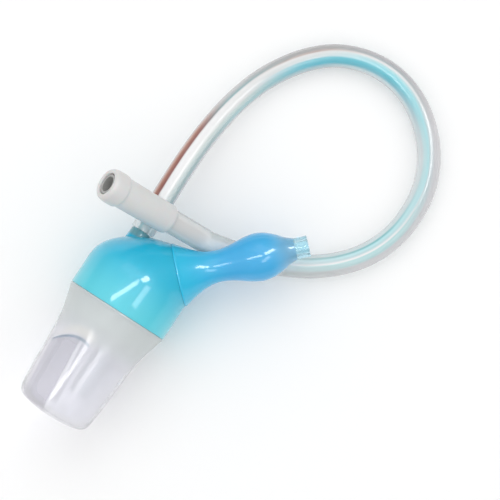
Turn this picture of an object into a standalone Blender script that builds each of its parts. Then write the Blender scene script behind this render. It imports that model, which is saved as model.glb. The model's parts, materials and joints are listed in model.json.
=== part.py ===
"""Mouth-suction nasal aspirator lying on its side.

Frame: +Y runs from the cup's bottom to the dome of the cap, the soft nozzle leans from +Y
towards +X, and +Z is up. The mirror plane of cup, cap and nozzle is level, at the height of
the cup's lip radius, so the lip touches the floor at z = 0. The origin is on the floor, at
the middle of the box round cup, cap and nozzle. Plane positions below are millimetres from
the centre of the cup's rim, heights are millimetres above the mirror plane, and the hose's
heights are millimetres above the floor.
"""

import math

import bmesh
import bpy
from mathutils import Vector

MM = 0.001
GAP = 0.35
ROUND_STEPS = 40
THIN_STEPS = 24
PIPE_BEND_STEPS = 8
MERGE_DISTANCE = 1e-5

# Cup and cap
LIP_RADIUS = 20.35
RIM_CENTRE = (-14.7, -7.6)
NECK_RADIUS = 18.4
NECK_INNER_RADIUS = 16.95
NECK_HEIGHT = 8.6
CUP_DEPTH = 46.4
CUP_WALL = 1.4
CAP_RADIUS = 20.3
SKIRT_INNER_RADIUS = 18.8
SKIRT_HEIGHT = 12.2
LEDGE_HEIGHT = 10.6
DOME_WALL = 2.3

# Nozzle seat: an inclined round face on the dome, with a hollow spigot
SEAT_CENTRE = (11.9, 23.4)
SEAT_TILT = math.radians(44.6)
SEAT_RADIUS = 12.1
SEAT_WALL = 1.8
SPIGOT_RADIUS = 7.0
SPIGOT_BORE_RADIUS = 5.6
SPIGOT_LENGTH = 5.4

# Nozzle and tip, as distances along the nozzle's axis from the seat
NOZZLE_END = 44.8
TIP_END = 50.0
TIP_RADIUS = 4.1
TIP_BORE_RADIUS = 2.3
TIP_STEM_RADIUS = 2.9
TIP_STEM_END = 37.5
NOZZLE_BORE_RADIUS = 2.0

# Hose port on the back of the dome
PORT_X = -8.5
PORT_BOSS_FOOT = 23.0
PORT_FACE = 29.8
PORT_RADIUS = 4.05
PORT_BORE_RADIUS = 1.6
BARB_RADIUS = 2.3
BARB_RIDGE_RADIUS = 2.6
BARB_END = 34.2
PORT_END_FINISH = 34.6

# Inlet pipe: from the spigot into the cup, parallel to the cup's axis
PIPE_X = 4.85
PIPE_RADIUS = 4.1
PIPE_WALL = 0.8
PIPE_FLARE_RADIUS = 5.2
PIPE_FLARE_LENGTH = 7.5
PIPE_BEND_TANGENT = 6.0
PIPE_END = -34.0

# Hose and mouthpiece
HOSE_RADIUS = 4.6
HOSE_BORE_RADIUS = 3.05
HOSE_POINT_SPACING = 7.5
MOUTH_FACE = (-25.0, 36.1, 47.7)
MOUTH_AXIS = Vector((-0.77, -0.0747, 0.6337)).normalized()
SLEEVE_LENGTH = 30.4
SLEEVE_BORE_RADIUS = 4.95
SLEEVE_FRONT_DEPTH = 10.2
LINER_BORE_RADIUS = 2.9
LINER_RADIUS = 3.9
MOUTH_END_START = 10.6
MOUTH_END_FINISH = 48.3
STEM_START = 10.9
STEM_END = 47.1
STEM_RADIUS = 2.65
STEM_BORE_RADIUS = 1.6
HOSE_START = PORT_END_FINISH + GAP

# The hose's way round, from its end on the port to its end in the mouthpiece: over the floor
# in one loop, and under the nozzle's neck
HOSE_ROUTE = [
    (-8.5, HOSE_START, 20.35),
    (-8.6, 40.5, 20.2),
    (-8.9, 46.5, 19.6),
    (-9.4, 56.5, 17.6),
    (-9.7, 67.0, 14.6),
    (-9.5, 77.4, 11.3),
    (-8.6, 87.3, 8.4),
    (-7.0, 95.8, 6.3),
    (-4.3, 104.6, 5.1),
    (-0.1, 113.0, 4.7),
    (5.7, 121.1, 4.7),
    (14.4, 128.9, 4.7),
    (25.8, 133.6, 4.7),
    (37.9, 134.3, 4.7),
    (48.8, 131.1, 4.7),
    (58.0, 125.0, 4.7),
    (65.1, 117.3, 4.7),
    (69.9, 108.8, 4.7),
    (72.3, 100.3, 4.7),
    (72.9, 91.8, 4.7),
    (72.0, 83.0, 4.7),
    (69.1, 74.2, 4.7),
    (64.6, 66.7, 4.7),
    (58.6, 60.1, 4.7),
    (51.6, 54.6, 4.7),
    (44.1, 50.3, 4.7),
    (36.0, 46.7, 5.1),
    (28.4, 43.9, 6.6),
    (21.8, 42.0, 9.4),
    (17.3, 40.8, 12.6),
]

# Collection cup: the outer side below the lip, as depth and radius
CUP_SIDE = [(0.0, 20.15), (0.6, LIP_RADIUS), (1.2, 20.1), (3.5, 19.3), (6.2, 18.6), (11.0, 17.4),
            (15.8, 16.8), (21.0, 16.4), (28.5, 16.0), (35.3, 15.5), (40.0, 15.05), (42.8, 14.4)]
CUP_BOTTOM = [(42.8, 14.4), (44.3, 13.2), (45.3, 10.8), (46.1, 6.0), (CUP_DEPTH, 0.0)]

# Nozzle: distance from the seat and radius, from the flange over the neck and the bulb
NOZZLE_SIDE = [(GAP, 12.1), (1.3, 11.6), (4.5, 9.6), (8.0, 7.75), (11.5, 6.5), (15.2, 6.0),
               (19.1, 6.4), (23.2, 7.45), (27.3, 8.6), (31.3, 9.1), (35.1, 8.5), (38.8, 7.0),
               (42.0, 5.2), (NOZZLE_END, 4.2)]

# Dome outline on the side away from the nozzle, up to the seat's upper edge
DOME_SIDE = [(-20.3, SKIRT_HEIGHT), (-19.65, 16.0), (-17.2, 20.4), (-13.4, 24.2), (-8.8, 27.3),
             (-3.2, 30.0)]


def remove_startup_objects():
    for obj in list(bpy.data.objects):
        bpy.data.objects.remove(obj)


def new_collection(name):
    collection = bpy.data.collections.new(name)
    bpy.context.scene.collection.children.link(collection)
    return collection


def plastic(name, colour, roughness, alpha=1.0):
    material = bpy.data.materials.new(name)
    material.use_nodes = True
    shader = material.node_tree.nodes["Principled BSDF"]
    shader.inputs["Base Color"].default_value = (*colour, 1.0)
    shader.inputs["Roughness"].default_value = roughness
    shader.inputs["Metallic"].default_value = 0.0
    shader.inputs["Alpha"].default_value = alpha
    return material


def axis_empty(name, location, direction, collection):
    """An empty whose local Z points along a direction: pieces turned about Z hang on it."""
    empty = bpy.data.objects.new(name, None)
    empty.location = Vector(location) * MM
    empty.rotation_mode = "QUATERNION"
    empty.rotation_quaternion = Vector((0.0, 0.0, 1.0)).rotation_difference(Vector(direction))
    collection.objects.link(empty)
    return empty


def smooth_through(points, parts):
    """Points on a centripetal Catmull-Rom curve through a list of points."""
    knots = [Vector(point) for point in points]
    knots.insert(0, 2.0 * knots[0] - knots[1])
    knots.append(2.0 * knots[-1] - knots[-2])
    result = []
    for before, start, end, after in zip(knots, knots[1:], knots[2:], knots[3:]):
        t0 = (start - before).length ** 0.5
        t1 = t0 + (end - start).length ** 0.5
        t2 = t1 + (after - end).length ** 0.5
        for part in range(parts):
            t = t0 + (t1 - t0) * part / parts
            a = before.lerp(start, t / t0)
            b = start.lerp(end, (t - t0) / (t1 - t0))
            c = end.lerp(after, (t - t1) / (t2 - t1))
            d = a.lerp(b, t / t1)
            e = b.lerp(c, (t - t0) / (t2 - t0))
            result.append(d.lerp(e, (t - t0) / (t1 - t0)))
    result.append(knots[-2])
    return result


def evenly_spaced(points, spacing):
    """The same line with its points about one spacing apart, both ends kept."""
    lengths = [0.0]
    for start, end in zip(points, points[1:]):
        lengths.append(lengths[-1] + (end - start).length)
    count = max(1, round(lengths[-1] / spacing))
    result = []
    segment = 0
    for index in range(count + 1):
        target = lengths[-1] * index / count
        while segment < len(points) - 2 and lengths[segment + 1] < target:
            segment += 1
        span = lengths[segment + 1] - lengths[segment]
        result.append(points[segment].lerp(points[segment + 1], (target - lengths[segment]) / span))
    return result


def finish_mesh_object(name, mesh, parent, material, collection):
    mesh.materials.append(material)
    obj = bpy.data.objects.new(name, mesh)
    obj.parent = parent
    collection.objects.link(obj)
    return obj


def turned(name, outline, parent, material, collection, steps=ROUND_STEPS):
    """A closed outline of (radius, height), outer side first and downwards, turned about Z."""
    count = len(outline)
    edges = [(index, (index + 1) % count) for index in range(count)]
    edges = [(a, b) for a, b in edges if outline[a][0] > 0.0 or outline[b][0] > 0.0]
    mesh = bpy.data.meshes.new(name)
    mesh.from_pydata([(radius * MM, 0.0, height * MM) for radius, height in outline], edges, [])
    obj = finish_mesh_object(name, mesh, parent, material, collection)
    screw = obj.modifiers.new("Turn", "SCREW")
    screw.axis = "Z"
    screw.angle = 2.0 * math.pi
    screw.steps = steps
    screw.render_steps = steps
    screw.use_merge_vertices = True
    screw.merge_threshold = MERGE_DISTANCE
    screw.use_smooth_shade = True
    return obj


def ring(left, right):
    """A circle standing on the mirror plane, on the diameter between two points of it."""
    left = Vector((left[0], left[1], 0.0))
    right = Vector((right[0], right[1], 0.0))
    centre = (left + right) / 2.0
    across = (right - left) / 2.0
    upward = Vector((0.0, 0.0, across.length))
    turn = 2.0 * math.pi / ROUND_STEPS
    return [centre + across * math.cos(turn * step) + upward * math.sin(turn * step)
            for step in range(ROUND_STEPS)]


def lofted(name, rings, parent, material, collection):
    """A closed skin through a row of circles, the last joined to the first."""
    body = bmesh.new()
    rows = [[body.verts.new(point * MM) for point in points] for points in rings]
    for row, next_row in zip(rows, rows[1:] + rows[:1]):
        for step in range(ROUND_STEPS):
            after = (step + 1) % ROUND_STEPS
            body.faces.new((row[step], row[after], next_row[after], next_row[step]))
    bmesh.ops.recalc_face_normals(body, faces=body.faces)
    mesh = bpy.data.meshes.new(name)
    body.to_mesh(mesh)
    body.free()
    mesh.shade_smooth()
    mesh.set_sharp_from_angle(angle=math.radians(40.0))
    return finish_mesh_object(name, mesh, parent, material, collection)


def tube_curve(name, points, radius, parent, material, collection, caps=True, point_radii=None):
    curve = bpy.data.curves.new(name, "CURVE")
    curve.dimensions = "3D"
    curve.bevel_depth = radius * MM
    curve.bevel_resolution = 4
    curve.use_fill_caps = caps
    spline = curve.splines.new("POLY")
    spline.points.add(len(points) - 1)
    for index, point in enumerate(points):
        spline.points[index].co = (*(Vector(point) * MM), 1.0)
        if point_radii:
            spline.points[index].radius = point_radii[index]
    curve.materials.append(material)
    obj = bpy.data.objects.new(name, curve)
    obj.parent = parent
    collection.objects.link(obj)
    return obj


def seat_point(along, across):
    """A point of the mirror plane, from its distance along and across the nozzle's axis."""
    axis = Vector((math.sin(SEAT_TILT), math.cos(SEAT_TILT)))
    side = Vector((math.cos(SEAT_TILT), -math.sin(SEAT_TILT)))
    return Vector(SEAT_CENTRE) + axis * along + side * across


def seat_ring(along, radius):
    return ring(seat_point(along, -radius), seat_point(along, radius))


def straight_ring(height, radius):
    return ring((-radius, height), (radius, height))


def dome_outline():
    """The dome's outer line from the skirt to the seat, as pairs of opposite points."""
    upper_end = seat_point(0.0, -SEAT_RADIUS)
    lower_end = seat_point(0.0, SEAT_RADIUS)
    left_line = smooth_through([*DOME_SIDE, upper_end], 2)
    right_start = Vector((CAP_RADIUS, SKIRT_HEIGHT))
    last = len(left_line) - 1
    return [(left, right_start.lerp(lower_end, index / last)) for index, left in enumerate(left_line)]


def dome_lining(outline):
    """The dome's inner line: each left point moved square to the outline by the wall."""
    lining = []
    for index, (left, right) in enumerate(outline):
        before = outline[max(index - 1, 0)][0]
        after = outline[min(index + 1, len(outline) - 1)][0]
        along = (after - before).normalized()
        inward = Vector((along.y, -along.x))
        lining.append((left + inward * DOME_WALL, right - Vector((DOME_WALL, 0.0))))
    return lining


def build_cap(parent, material, parts, cutters):
    outline = dome_outline()
    lining = dome_lining(outline)
    last_inner = seat_point(-SEAT_WALL, -SEAT_RADIUS + DOME_WALL)
    inner_rings = [ring(left, right) for left, right in lining if left.x < last_inner.x - 1.0]
    rings = [straight_ring(GAP, CAP_RADIUS - 0.25), straight_ring(GAP + 0.3, CAP_RADIUS)]
    rings += [ring(left, right) for left, right in outline]
    rings += [seat_ring(0.0, SPIGOT_RADIUS), seat_ring(SPIGOT_LENGTH - 0.4, SPIGOT_RADIUS),
              seat_ring(SPIGOT_LENGTH, SPIGOT_RADIUS - 0.4),
              seat_ring(SPIGOT_LENGTH, SPIGOT_BORE_RADIUS),
              seat_ring(-SEAT_WALL, SPIGOT_BORE_RADIUS),
              seat_ring(-SEAT_WALL, SEAT_RADIUS - DOME_WALL)]
    rings += inner_rings[::-1]
    rings += [straight_ring(LEDGE_HEIGHT, CAP_RADIUS - DOME_WALL),
              straight_ring(LEDGE_HEIGHT, SKIRT_INNER_RADIUS),
              straight_ring(GAP, SKIRT_INNER_RADIUS)]
    cap = lofted("cap_shell", rings, parent, material, parts)

    port = axis_empty("port_axis", (PORT_X, 0.0, 0.0), (0.0, 1.0, 0.0), parts)
    port.parent = parent
    boss = turned("port_boss_tool",
                  [(0.0, BARB_END), (BARB_RADIUS - 0.2, BARB_END), (BARB_RIDGE_RADIUS, BARB_END - 1.4),
                   (BARB_RADIUS, BARB_END - 1.5), (BARB_RADIUS, PORT_FACE),
                   (PORT_RADIUS - 0.3, PORT_FACE), (PORT_RADIUS, PORT_FACE - 0.3),
                   (PORT_RADIUS + 0.5, PORT_BOSS_FOOT), (0.0, PORT_BOSS_FOOT)],
                  port, material, cutters, THIN_STEPS)
    bore = turned("port_bore_tool",
                  [(0.0, BARB_END + 1.0), (PORT_BORE_RADIUS, BARB_END + 1.0),
                   (PORT_BORE_RADIUS, PORT_BOSS_FOOT - 1.0), (0.0, PORT_BOSS_FOOT - 1.0)],
                  port, material, cutters, THIN_STEPS)
    for tool, operation in ((boss, "UNION"), (bore, "DIFFERENCE")):
        tool.hide_render = True
        tool.display_type = "WIRE"
        boolean = cap.modifiers.new(operation.title(), "BOOLEAN")
        boolean.operation = operation
        boolean.object = tool
        boolean.solver = "EXACT"
    return port


def build_cap_seal(parent, material, collection):
    low = NECK_HEIGHT + GAP
    high = LEDGE_HEIGHT - GAP
    turned("cap_seal",
           [(NECK_INNER_RADIUS + 0.2, high), (NECK_RADIUS - 0.1, high), (NECK_RADIUS + 0.05, high - 0.25),
            (NECK_RADIUS + 0.05, low + 0.25), (NECK_RADIUS - 0.1, low), (NECK_INNER_RADIUS + 0.2, low),
            (NECK_INNER_RADIUS, low + 0.25), (NECK_INNER_RADIUS, high - 0.25)],
           parent, material, collection)


def build_cup(parent, material, collection):
    outer = [(radius, -depth) for depth, radius in CUP_SIDE[:-1]]
    outer += [(point.y, -point.x) for point in smooth_through(CUP_BOTTOM, 2)]
    inner_share = 1.0 - CUP_WALL / CUP_BOTTOM[0][1]
    inner = [(point.y * inner_share, CUP_WALL - point.x) for point in smooth_through(CUP_BOTTOM, 2)][::-1]
    inner += [(radius - CUP_WALL, -depth) for depth, radius in CUP_SIDE[-2:3:-1]]
    outline = [(NECK_RADIUS - 0.3, NECK_HEIGHT), (NECK_RADIUS, NECK_HEIGHT - 0.3), (NECK_RADIUS, 0.0)]
    outline += outer + inner
    outline += [(NECK_INNER_RADIUS, 0.0), (NECK_INNER_RADIUS, NECK_HEIGHT)]
    turned("collection_cup", outline, parent, material, collection)


def build_inlet_pipe(parent, material, collection):
    """Elbow from the seat's spigot to a straight leg along the cup; flared at its top."""
    top_distance = SPIGOT_LENGTH - 1.0
    flare_end = top_distance - PIPE_FLARE_LENGTH
    corner_distance = (PIPE_X - SEAT_CENTRE[0]) / math.sin(SEAT_TILT)
    corner = seat_point(corner_distance, 0.0)
    bend_start = seat_point(corner_distance + PIPE_BEND_TANGENT, 0.0)
    bend_end = corner - Vector((0.0, PIPE_BEND_TANGENT))
    bend = [bend_start.lerp(corner, t).lerp(corner.lerp(bend_end, t), t)
            for t in [step / PIPE_BEND_STEPS for step in range(PIPE_BEND_STEPS + 1)]]
    line = [seat_point(top_distance, 0.0), seat_point(flare_end + PIPE_FLARE_LENGTH / 4.0, 0.0),
            seat_point(flare_end, 0.0), *bend, Vector((PIPE_X, PIPE_END))]
    middle = PIPE_RADIUS - PIPE_WALL / 2.0
    flare = (PIPE_FLARE_RADIUS - PIPE_WALL / 2.0) / middle
    radii = [flare, flare, 1.0] + [1.0] * (len(line) - 3)
    pipe = tube_curve("inlet_pipe", [(point.x, point.y, 0.0) for point in line], middle, parent,
                      material, collection, caps=False, point_radii=radii)
    wall = pipe.modifiers.new("Wall", "SOLIDIFY")
    wall.thickness = PIPE_WALL * MM
    wall.offset = 0.0


def build_nozzle(parent, soft, clear, collection):
    socket = SPIGOT_RADIUS + GAP
    outline = [(radius, distance) for distance, radius in reversed(NOZZLE_SIDE)]
    outline += [(socket, GAP), (socket, SPIGOT_LENGTH + GAP), (NOZZLE_BORE_RADIUS, SPIGOT_LENGTH + 7.0),
                (NOZZLE_BORE_RADIUS, TIP_STEM_END - GAP), (TIP_STEM_RADIUS + 0.3, TIP_STEM_END - GAP),
                (TIP_STEM_RADIUS + 0.3, NOZZLE_END)]
    turned("nozzle", outline, parent, soft, collection)
    foot = NOZZLE_END + 0.3
    turned("nozzle_tip",
           [(TIP_BORE_RADIUS + 0.3, TIP_END), (TIP_RADIUS - 0.3, TIP_END), (TIP_RADIUS, TIP_END - 0.35),
            (TIP_RADIUS - 0.1, TIP_END - 2.2), (TIP_RADIUS + 0.05, foot), (TIP_STEM_RADIUS, foot),
            (TIP_STEM_RADIUS, TIP_STEM_END), (NOZZLE_BORE_RADIUS, TIP_STEM_END),
            (TIP_BORE_RADIUS - 0.1, NOZZLE_END), (TIP_BORE_RADIUS, TIP_END - 0.3)],
           parent, clear, collection, THIN_STEPS)


def build_hose_port_end(port, material, collection):
    """The hose's own end, pushed over the port's barb."""
    foot = PORT_FACE + GAP
    turned("hose_port_end",
           [(HOSE_BORE_RADIUS, PORT_END_FINISH), (HOSE_RADIUS, PORT_END_FINISH),
            (HOSE_RADIUS + 0.1, PORT_END_FINISH - 1.5), (HOSE_RADIUS + 0.1, foot + 0.5),
            (HOSE_RADIUS - 0.1, foot), (HOSE_BORE_RADIUS, foot)],
           port, material, collection, THIN_STEPS)


def build_mouthpiece(parent, soft, liner, hose, collection):
    end = -SLEEVE_LENGTH
    lip = [(4.75, 0.0), (5.45, -0.2), (6.05, -0.85), (6.32, -1.9), (6.38, -3.2), (6.34, -5.6),
           (6.0, -7.1), (5.8, -8.2)]
    turned("mouthpiece",
           lip + [(5.65, end + 1.4), (5.5, end + 0.5), (5.25, end), (SLEEVE_BORE_RADIUS, end),
                  (SLEEVE_BORE_RADIUS, -SLEEVE_FRONT_DEPTH), (LINER_RADIUS + 0.3, -SLEEVE_FRONT_DEPTH),
                  (LINER_RADIUS + 0.3, -0.5)],
           parent, soft, collection, THIN_STEPS)
    turned("mouthpiece_liner",
           [(LINER_BORE_RADIUS + 0.3, -0.55), (LINER_RADIUS - 0.2, -0.55), (LINER_RADIUS, -0.8),
            (LINER_RADIUS, -SLEEVE_FRONT_DEPTH + 0.3), (LINER_BORE_RADIUS, -SLEEVE_FRONT_DEPTH + 0.3),
            (LINER_BORE_RADIUS, -0.95)],
           parent, liner, collection, THIN_STEPS)
    turned("mouthpiece_stem",
           [(STEM_BORE_RADIUS, -STEM_START), (STEM_RADIUS, -STEM_START), (STEM_RADIUS, -STEM_END),
            (STEM_BORE_RADIUS, -STEM_END)],
           parent, liner, collection, THIN_STEPS)
    turned("hose_mouth_end",
           [(HOSE_BORE_RADIUS, -MOUTH_END_START), (HOSE_RADIUS, -MOUTH_END_START),
            (HOSE_RADIUS, -MOUTH_END_FINISH), (HOSE_BORE_RADIUS, -MOUTH_END_FINISH)],
           parent, hose, collection, THIN_STEPS)


def build_hose(parent, material, collection):
    """The hose's free stretch; its last two points lie on the mouthpiece's axis."""
    end = Vector(MOUTH_FACE) - MOUTH_AXIS * (MOUTH_END_FINISH + GAP)
    line = smooth_through([*HOSE_ROUTE, end - MOUTH_AXIS * 3.0], 8)
    line = evenly_spaced(line, HOSE_POINT_SPACING) + [end]
    tube_curve("hose", line, HOSE_RADIUS, parent, material, collection)


def main():
    remove_startup_objects()
    parts = new_collection("nasal_aspirator")
    cutters = new_collection("cutters")

    teal = plastic("teal_plastic", (0.09, 0.52, 0.72), 0.22, 0.85)
    milky = plastic("milky_plastic", (0.72, 0.73, 0.76), 0.3, 0.5)
    blue = plastic("blue_silicone", (0.08, 0.36, 0.75), 0.38)
    clear = plastic("clear_silicone", (0.45, 0.68, 0.78), 0.2, 0.5)
    hose_clear = plastic("clear_hose", (0.72, 0.8, 0.82), 0.12, 0.45)
    warm = plastic("grey_elastomer", (0.62, 0.61, 0.6), 0.48)
    white = plastic("white_plastic", (0.75, 0.75, 0.74), 0.35)

    floor = bpy.data.objects.new("floor_frame", None)
    floor.location = Vector((*RIM_CENTRE, 0.0)) * MM
    parts.objects.link(floor)
    device = bpy.data.objects.new("device_frame", None)
    device.location = Vector((0.0, 0.0, LIP_RADIUS)) * MM
    device.parent = floor
    parts.objects.link(device)

    cup_axis = axis_empty("cup_axis", (0.0, 0.0, 0.0), (0.0, 1.0, 0.0), parts)
    cup_axis.parent = device
    nozzle_direction = (math.sin(SEAT_TILT), math.cos(SEAT_TILT), 0.0)
    nozzle_axis = axis_empty("nozzle_axis", (*SEAT_CENTRE, 0.0), nozzle_direction, parts)
    nozzle_axis.parent = device
    mouth_axis = axis_empty("mouth_axis", MOUTH_FACE, MOUTH_AXIS, parts)
    mouth_axis.parent = floor

    port_axis = build_cap(device, teal, parts, cutters)
    build_cap_seal(cup_axis, clear, parts)
    build_cup(cup_axis, milky, parts)
    build_inlet_pipe(device, milky, parts)
    build_nozzle(nozzle_axis, blue, clear, parts)
    build_hose_port_end(port_axis, hose_clear, parts)
    build_mouthpiece(mouth_axis, warm, white, hose_clear, parts)
    build_hose(floor, hose_clear, parts)


main()
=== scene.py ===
"""Looks of the mouth-suction nasal aspirator: fine meshes, materials, light and camera.

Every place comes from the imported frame: the cup's rim centre, the nozzle's axis, the hose
port and the mouthpiece's axis. Outlines are millimetres along and away from those axes, and
materials measure metres in the object's own space.
"""

import json
import math

import bmesh
import bpy
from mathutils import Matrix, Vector


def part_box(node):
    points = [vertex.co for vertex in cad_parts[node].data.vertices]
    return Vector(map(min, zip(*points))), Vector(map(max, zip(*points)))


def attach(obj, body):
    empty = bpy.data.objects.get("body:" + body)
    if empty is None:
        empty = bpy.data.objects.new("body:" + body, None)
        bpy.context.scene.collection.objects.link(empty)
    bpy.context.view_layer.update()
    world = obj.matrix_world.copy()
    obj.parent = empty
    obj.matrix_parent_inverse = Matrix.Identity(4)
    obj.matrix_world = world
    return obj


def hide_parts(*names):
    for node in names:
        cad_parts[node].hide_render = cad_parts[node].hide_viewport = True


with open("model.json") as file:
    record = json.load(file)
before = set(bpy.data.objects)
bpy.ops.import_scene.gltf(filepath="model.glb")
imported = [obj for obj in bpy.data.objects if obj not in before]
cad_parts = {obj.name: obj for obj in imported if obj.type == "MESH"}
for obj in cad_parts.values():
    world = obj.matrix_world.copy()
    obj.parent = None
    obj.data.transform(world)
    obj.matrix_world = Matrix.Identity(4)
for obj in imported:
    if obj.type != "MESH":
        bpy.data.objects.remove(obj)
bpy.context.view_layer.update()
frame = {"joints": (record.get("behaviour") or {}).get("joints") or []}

# Sizes, in millimetres: GAP is what fitted pieces keep between them, SEAM what shows where pieces meet
# face to face, and EDGE how far the rounding of a moulded edge reaches
MM = 0.001
GAP = 0.35
SEAM = 0.06
EDGE = 0.35

# How finely round pieces are divided
STEPS = 96
CUP_STEPS = 128
THIN_STEPS = 64
HOSE_STEPS = 80
PIPE_STEPS = 48
SMOOTH_PARTS = 5

# Cup and cap, from the rim centre along the cup's axis; sides are (depth, radius)
NECK_RADIUS = 18.4
NECK_INNER_RADIUS = 16.95
NECK_HEIGHT = 8.6
CUP_DEPTH = 46.4
CUP_WALL = 1.4
CUP_INSIDE_START = 6.0
CUP_BOTTOM_BLEND = 4.0
CAP_RADIUS = 20.3
SKIRT_INNER_RADIUS = 18.8
SKIRT_HEIGHT = 12.2
LEDGE_HEIGHT = 10.6
DOME_WALL = 2.3
CUP_LIP = [(0.0, 19.9), (0.2, 20.2), (0.6, 20.35), (1.0, 20.2), (1.4, 19.95)]
CUP_SIDE = [(1.4, 19.95), (3.5, 19.3), (6.2, 18.6), (11.0, 17.4), (15.8, 16.8), (21.0, 16.4),
            (28.5, 16.0), (35.3, 15.5), (40.0, 15.05), (42.8, 14.4), (44.3, 13.2), (45.3, 10.8),
            (46.1, 6.0), (CUP_DEPTH, 0.0)]
# The dome's left side as (across, height)
DOME_SIDE = [(-20.3, SKIRT_HEIGHT), (-19.65, 16.0), (-17.2, 20.4), (-13.4, 24.2), (-8.8, 27.3),
             (-3.2, 30.0)]

# Nozzle seat: its centre is (across, height) from the rim centre
SEAT_CENTRE = (11.9, 23.4)
SEAT_TILT = math.radians(44.6)
SEAT_RADIUS = 12.1
SEAT_WALL = 1.8
SPIGOT_RADIUS = 7.0
SPIGOT_BORE_RADIUS = 5.6
SPIGOT_LENGTH = 5.4

# Nozzle and tip, from the seat along the nozzle's axis; the side is (distance, radius)
NOZZLE_END = 44.8
TIP_END = 50.0
TIP_RADIUS = 4.1
TIP_BORE_RADIUS = 2.3
TIP_STEM_RADIUS = 2.9
TIP_STEM_END = 37.5
NOZZLE_BORE_RADIUS = 2.0
NOZZLE_SIDE = [(0.75, 12.05), (1.3, 11.6), (4.5, 9.6), (8.0, 7.75), (11.5, 6.5), (15.2, 6.0),
               (19.1, 6.4), (23.2, 7.45), (27.3, 8.6), (31.3, 9.1), (35.1, 8.5), (38.8, 7.0),
               (42.0, 5.2), (NOZZLE_END, 4.2)]

# Hose port, from the rim's level along the port's axis
PORT_BOSS_FOOT = 23.0
PORT_FACE = 29.8
PORT_RADIUS = 4.05
PORT_BORE_RADIUS = 1.6
BARB_RADIUS = 2.3
BARB_RIDGE_RADIUS = 2.6
BARB_END = 34.2
HOSE_SWELL_END = 34.6

# Inlet pipe; its flare sits in the spigot's bore
PIPE_X = 4.85
PIPE_RADIUS = 4.1
PIPE_WALL = 0.8
PIPE_FLARE_RADIUS = 5.2
PIPE_FLARE_LENGTH = 7.5
PIPE_FLARE_STEPS = 6
PIPE_FLARE_MOUTH = 1.5
PIPE_BEND_TANGENT = 6.0
PIPE_END = -34.0

# Hose, sleeve, liner ring and stem; depths are from the mouthpiece's front along its axis
HOSE_RADIUS = 4.6
HOSE_BORE_RADIUS = 3.05
HOSE_POINTS_APART = 1.5
SLEEVE_LENGTH = 30.4
SLEEVE_BORE_RADIUS = 4.95
SLEEVE_FRONT_DEPTH = 10.2
LINER_BORE_RADIUS = 2.9
LINER_RADIUS = 3.9
HOSE_END_DEPTH = 10.6
HOSE_BEND_DEPTH = 48.3
HOSE_BEND_LEAD = 3.0
STEM_START = 10.9
STEM_END = 47.1
STEM_RADIUS = 2.65
STEM_BORE_RADIUS = 1.6
STEM_MIDDLE = 29.0

# The hose's way round, from the rim centre; heights above the floor
HOSE_ROUTE = [
    (-8.5, 34.95, 20.35),
    (-8.6, 40.5, 20.2),
    (-8.9, 46.5, 19.6),
    (-9.4, 56.5, 17.6),
    (-9.7, 67.0, 14.6),
    (-9.5, 77.4, 11.3),
    (-8.6, 87.3, 8.4),
    (-7.0, 95.8, 6.3),
    (-4.3, 104.6, 5.1),
    (-0.1, 113.0, 4.7),
    (5.7, 121.1, 4.7),
    (14.4, 128.9, 4.7),
    (25.8, 133.6, 4.7),
    (37.9, 134.3, 4.7),
    (48.8, 131.1, 4.7),
    (58.0, 125.0, 4.7),
    (65.1, 117.3, 4.7),
    (69.9, 108.8, 4.7),
    (72.3, 100.3, 4.7),
    (72.9, 91.8, 4.7),
    (72.0, 83.0, 4.7),
    (69.1, 74.2, 4.7),
    (64.6, 66.7, 4.7),
    (58.6, 60.1, 4.7),
    (51.6, 54.6, 4.7),
    (44.1, 50.3, 4.7),
    (36.0, 46.7, 5.1),
    (28.4, 43.9, 6.6),
    (21.8, 42.0, 9.4),
    (17.3, 40.8, 12.6),
]

# Camera: the point it is aimed at, from the rim centre with its height above the floor, its
# distance from that point and the width it sees there, in millimetres
AIM = (29.4, 45.9, 20.2)
CAMERA_DISTANCE = 575.0
VIEW_WIDTH = 187.5
CAMERA_LEAN = math.radians(4.6)
CAMERA_ROLL = math.radians(33.0)
SENSOR_WIDTH = 36.0

# Light: the sky's strength near the floor and overhead, and the panes' distance in metres
SKY_LOW = 0.45
SKY_HIGH = 1.08
PANE_DISTANCE = 0.7

# Materials: the relief's depth in metres, the share of its opacity that a see-through surface
# keeps in its shadow, and the name of the map along a swept piece
RELIEF_DEPTH = 0.0001
SHADOW_SHARE = 0.15
ROUTE_MAP = "route"

# Tints round the hose as (turn from its upper side, colour, opacity); positive is its right side.
# The greys towards its left and right sides are painted shade for a clear tube's darker edges, and
# the white bands are painted highlight. BELOW and BELOW_AGAIN are the turns past its left and its
# right side, towards its underside
CLEAR = (0.90, 0.92, 0.92)
PAINTED_HIGHLIGHT = (1.0, 1.0, 1.0)
SIDE_SHADE = (0.50, 0.50, 0.51)
BELOW = [(-0.30, CLEAR, 0.05), (-0.25, SIDE_SHADE, 0.60)]
BELOW_AGAIN = [(0.25, SIDE_SHADE, 0.60), (0.30, CLEAR, 0.05)]

RED_STREAK = [*BELOW, (-0.17, (0.52, 0.42, 0.39), 0.78), (-0.13, (0.46, 0.22, 0.16), 0.90),
              (-0.10, (0.34, 0.12, 0.08), 0.95), (-0.065, (0.24, 0.08, 0.07), 0.96),
              (-0.038, PAINTED_HIGHLIGHT, 0.45), (0.05, PAINTED_HIGHLIGHT, 0.45), (0.095, (0.52, 0.68, 0.66), 0.45),
              (0.155, (0.28, 0.42, 0.44), 0.82), *BELOW_AGAIN]

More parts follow.
